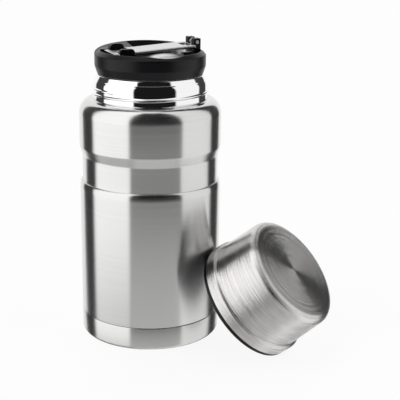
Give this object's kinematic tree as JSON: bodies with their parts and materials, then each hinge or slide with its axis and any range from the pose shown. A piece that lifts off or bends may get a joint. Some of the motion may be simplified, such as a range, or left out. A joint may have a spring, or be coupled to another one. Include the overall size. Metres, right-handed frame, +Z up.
{
  "type": "insulated food jar",
  "caption": "Double-walled steel food jar with a screw-in stopper that stows a folding spoon, and a loose steel cup lid leaning on its side.",
  "frame": {"origin": "centre of the jar's foot ring, on the surface it stands on, 1.2 mm under the flat middle of the base", "axes": "+Z up along the jar's axis; the picture looks along +Y, with +X to its right"},
  "size_m": [0.1763, 0.1399, 0.2117],
  "materials": {
    "satin_steel": "satin, drawn round the body",
    "polished_steel": "mirror polished",
    "spun_steel": "spun, with circular lines",
    "spoon_steel": "bright",
    "inner_steel": "drawn, unpolished",
    "foil": "bright foil",
    "getter_alloy": "sintered",
    "seal_bead": "fused bead",
    "black_plastic": "moulded, fine satin",
    "silicone": "soft, translucent white",
    "foam": "rigid closed-cell foam"
  },
  "bodies": {
    "jar": {"outer_shell": "satin_steel", "shell_pan": "inner_steel", "base_cup": "satin_steel", "inner_vessel": "inner_steel", "vessel_floor": "inner_steel", "heat_foil": "foil", "getter": "getter_alloy", "getter_cage": "inner_steel", "vacuum_seal": "seal_bead", "neck_collar": "polished_steel"},
    "seal": {"seal_ring": "silicone"},
    "stopper": {"stopper_cap": "black_plastic", "stopper_plug": "black_plastic", "stopper_foam": "foam"},
    "spoon": {"spoon_bowl": "spoon_steel", "hinge_block": "black_plastic", "hinge_pin": "spoon_steel"},
    "handle": {"spoon_handle": "spoon_steel"},
    "cup": {"cup_shell": "spun_steel", "cup_liner": "black_plastic", "cup_thread_ring": "black_plastic"}
  },
  "joints": [
    {"name": "stopper_lift", "type": "slide", "parent": "jar", "child": "seal", "axis": [0, 0, 1], "range_m": [0, 0.07]},
    {"name": "stopper_turn", "type": "hinge", "parent": "seal", "child": "stopper", "pos_m": [0, 0, 0.19], "axis": [0, 0, 1], "range_deg": [0, 1800]},
    {"name": "spoon_lift", "type": "slide", "parent": "stopper", "child": "spoon", "axis": [0, 0, 1], "range_m": [0, 0.06]},
    {"name": "handle_unfold", "type": "hinge", "parent": "spoon", "child": "handle", "pos_m": [0.03007, 0.01094, 0.2092], "axis": [-0.342, 0.9397, 0], "range_deg": [0, 180]},
    {"name": "cup_away", "type": "slide", "parent": "jar", "child": "cup", "axis": [0.6604, -0.363, 0.6574], "range_m": [0, 0.08]}
  ],
  "couplings": [
    {"joint": "stopper_lift", "follows": "stopper_turn", "m_per_rad": 0.0022282}
  ]
}
